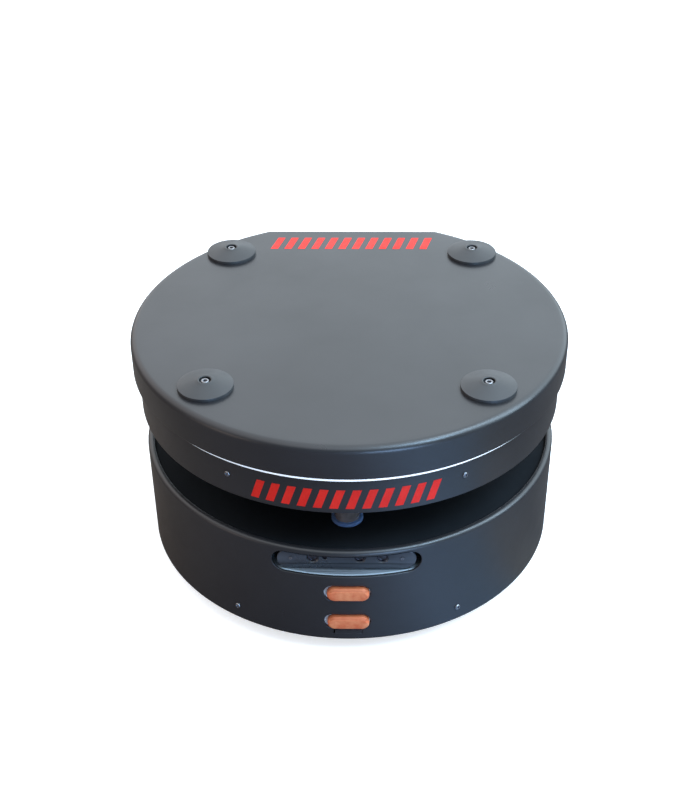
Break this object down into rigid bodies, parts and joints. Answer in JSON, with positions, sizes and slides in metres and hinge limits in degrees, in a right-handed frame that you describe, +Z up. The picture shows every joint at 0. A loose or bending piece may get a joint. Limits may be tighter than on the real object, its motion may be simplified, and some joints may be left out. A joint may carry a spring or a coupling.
{
  "type": "mobile robot base",
  "caption": "Low round differential-drive robot base with a lifting lid, locating cones, an open scanner gap, a camera slot and sprung charging contacts.",
  "frame": {"origin": "on the floor, at the centre of the whole footprint; the axis of the round body is 5.5 mm behind it", "axes": "+Z up, -Y the front with the scanner, camera and charging contacts, +X to the right for a viewer facing the front"},
  "size_m": [0.5, 0.4889, 0.2994],
  "materials": {
    "black_paint": "satin black powder coat",
    "black_plate": "matte black",
    "bare_aluminium": "brushed",
    "steel_fasteners": "blackened steel",
    "black_plastic": "matte black plastic",
    "blue_anodised": "blue anodised",
    "smoked_window": "smoked window",
    "rotor_metal": "machined",
    "lens_glass": "dark coated lens",
    "grey_plastic": "light grey plastic",
    "copper": "bare copper, lightly brushed",
    "spring_steel": "spring wire",
    "light_diffuser": "milky light diffuser",
    "ground_steel": "ground",
    "bronze": "cast bronze",
    "belt_rubber": "ribbed rubber",
    "motor_case": "dark grey",
    "tyre_rubber": "soft black rubber",
    "castor_steel": "zinc plated",
    "red_plastic": "signal red",
    "yellow_plastic": "signal yellow",
    "battery_case": "blue-grey case",
    "cable_sheath": "black sheath"
  },
  "bodies": {
    "base": {"base_plate": "black_paint", "lower_shell": "black_paint", "shell_screws": "steel_fasteners", "deck_plate": "black_plate", "deck_posts": "bare_aluminium", "lidar_body": "black_plastic", "lidar_collar": "blue_anodised", "lidar_window": "smoked_window", "camera_bezel": "black_plastic", "camera_body": "black_plastic", "camera_lenses": "lens_glass", "camera_shelf": "grey_plastic", "contact_springs": "spring_steel", "contact_carrier": "grey_plastic", "head_posts": "black_plate", "rear_column": "black_plate", "head_tray": "black_plate", "head_ring": "black_paint", "light_ring": "light_diffuser", "guide_bushes": "bronze", "screw_bearing": "ground_steel", "lift_belt": "belt_rubber", "lift_motor": "motor_case", "drive_motors": "motor_case", "castor_housings": "black_plate", "rear_panel": "black_plate", "panel_screws": "steel_fasteners", "estop_collar": "yellow_plastic", "charge_socket": "black_plastic", "data_ports": "black_plastic", "battery_pack": "battery_case", "computer_box": "black_plastic", "wiring_harness": "cable_sheath"},
    "lift": {"lid": "black_paint", "locating_cones": "black_plastic", "cone_screws": "steel_fasteners", "lift_frame": "bare_aluminium", "lift_nut": "bronze", "guide_rods": "ground_steel", "lift_skirt": "black_plastic"},
    "screw": {"lead_screw": "ground_steel", "screw_pulley": "bare_aluminium"},
    "motor_pulley": {"motor_pulley": "bare_aluminium"},
    "lidar_rotor": {"lidar_rotor": "rotor_metal"},
    "upper_contact": {"upper_contact": "copper"},
    "lower_contact": {"lower_contact": "copper"},
    "left_wheel": {"left_wheel_hub": "bare_aluminium", "left_tyre": "tyre_rubber"},
    "right_wheel": {"right_wheel_hub": "bare_aluminium", "right_tyre": "tyre_rubber"},
    "estop_button": {"estop_button": "red_plastic"},
    "power_switch": {"power_switch": "black_plastic"},
    "front_left_castor": {"front_left_castor_fork": "castor_steel"},
    "front_left_castor_wheel": {"front_left_castor_wheel": "tyre_rubber"},
    "rear_left_castor": {"rear_left_castor_fork": "castor_steel"},
    "rear_left_castor_wheel": {"rear_left_castor_wheel": "tyre_rubber"},
    "front_right_castor": {"front_right_castor_fork": "castor_steel"},
    "front_right_castor_wheel": {"front_right_castor_wheel": "tyre_rubber"},
    "rear_right_castor": {"rear_right_castor_fork": "castor_steel"},
    "rear_right_castor_wheel": {"rear_right_castor_wheel": "tyre_rubber"}
  },
  "joints": [
    {"name": "lift_slide", "type": "slide", "parent": "base", "child": "lift", "axis": [0, 0, 1], "range_m": [0, 0.03]},
    {"name": "lead_screw_spin", "type": "hinge", "parent": "base", "child": "screw", "pos_m": [0, 0.015, 0.24], "axis": [0, 0, 1], "range_deg": [0, 1080]},
    {"name": "motor_pulley_spin", "type": "hinge", "parent": "base", "child": "motor_pulley", "pos_m": [0, 0.1285, 0.217], "axis": [0, 0, 1], "range_deg": [0, 2160]},
    {"name": "lidar_spin", "type": "hinge", "parent": "base", "child": "lidar_rotor", "pos_m": [0, -0.17, 0.16], "axis": [0, 0, 1], "continuous": true},
    {"name": "upper_contact_press", "type": "slide", "parent": "base", "child": "upper_contact", "axis": [0, 1, 0], "range_m": [0, 0.004], "stiffness_N_per_m": 600, "springref_m": -0.002},
    {"name": "lower_contact_press", "type": "slide", "parent": "base", "child": "lower_contact", "axis": [0, 1, 0], "range_m": [0, 0.004], "stiffness_N_per_m": 600, "springref_m": -0.002},
    {"name": "left_wheel_spin", "type": "hinge", "parent": "base", "child": "left_wheel", "pos_m": [-0.178, 0.0055, 0.055], "axis": [1, 0, 0], "continuous": true},
    {"name": "right_wheel_spin", "type": "hinge", "parent": "base", "child": "right_wheel", "pos_m": [0.178, 0.0055, 0.055], "axis": [1, 0, 0], "continuous": true},
    {"name": "estop_press", "type": "slide", "parent": "base", "child": "estop_button", "axis": [0, -1, 0], "range_m": [0, 0.004], "stiffness_N_per_m": 800, "springref_m": -0.001},
    {"name": "power_switch_rock", "type": "hinge", "parent": "base", "child": "power_switch", "pos_m": [0.046, 0.2235, 0.1], "axis": [1, 0, 0], "range_deg": [-7, 7]},
    {"name": "front_left_castor_swivel", "type": "hinge", "parent": "base", "child": "front_left_castor", "pos_m": [-0.105, -0.1295, 0.07], "axis": [0, 0, 1], "continuous": true},
    {"name": "front_left_castor_spin", "type": "hinge", "parent": "front_left_castor", "child": "front_left_castor_wheel", "pos_m": [-0.105, -0.1155, 0.02], "axis": [1, 0, 0], "continuous": true},
    {"name": "rear_left_castor_swivel", "type": "hinge", "parent": "base", "child": "rear_left_castor", "pos_m": [-0.105, 0.1405, 0.07], "axis": [0, 0, 1], "continuous": true},
    {"name": "rear_left_castor_spin", "type": "hinge", "parent": "rear_left_castor", "child": "rear_left_castor_wheel", "pos_m": [-0.105, 0.1545, 0.02], "axis": [1, 0, 0], "continuous": true},
    {"name": "front_right_castor_swivel", "type": "hinge", "parent": "base", "child": "front_right_castor", "pos_m": [0.105, -0.1295, 0.07], "axis": [0, 0, 1], "continuous": true},
    {"name": "front_right_castor_spin", "type": "hinge", "parent": "front_right_castor", "child": "front_right_castor_wheel", "pos_m": [0.105, -0.1155, 0.02], "axis": [1, 0, 0], "continuous": true},
    {"name": "rear_right_castor_swivel", "type": "hinge", "parent": "base", "child": "rear_right_castor", "pos_m": [0.105, 0.1405, 0.07], "axis": [0, 0, 1], "continuous": true},
    {"name": "rear_right_castor_spin", "type": "hinge", "parent": "rear_right_castor", "child": "rear_right_castor_wheel", "pos_m": [0.105, 0.1545, 0.02], "axis": [1, 0, 0], "continuous": true}
  ],
  "couplings": [
    {"joint": "lead_screw_spin", "follows": "lift_slide", "rad_per_m": 628.32},
    {"joint": "motor_pulley_spin", "follows": "lift_slide", "rad_per_m": 1256.6}
  ]
}
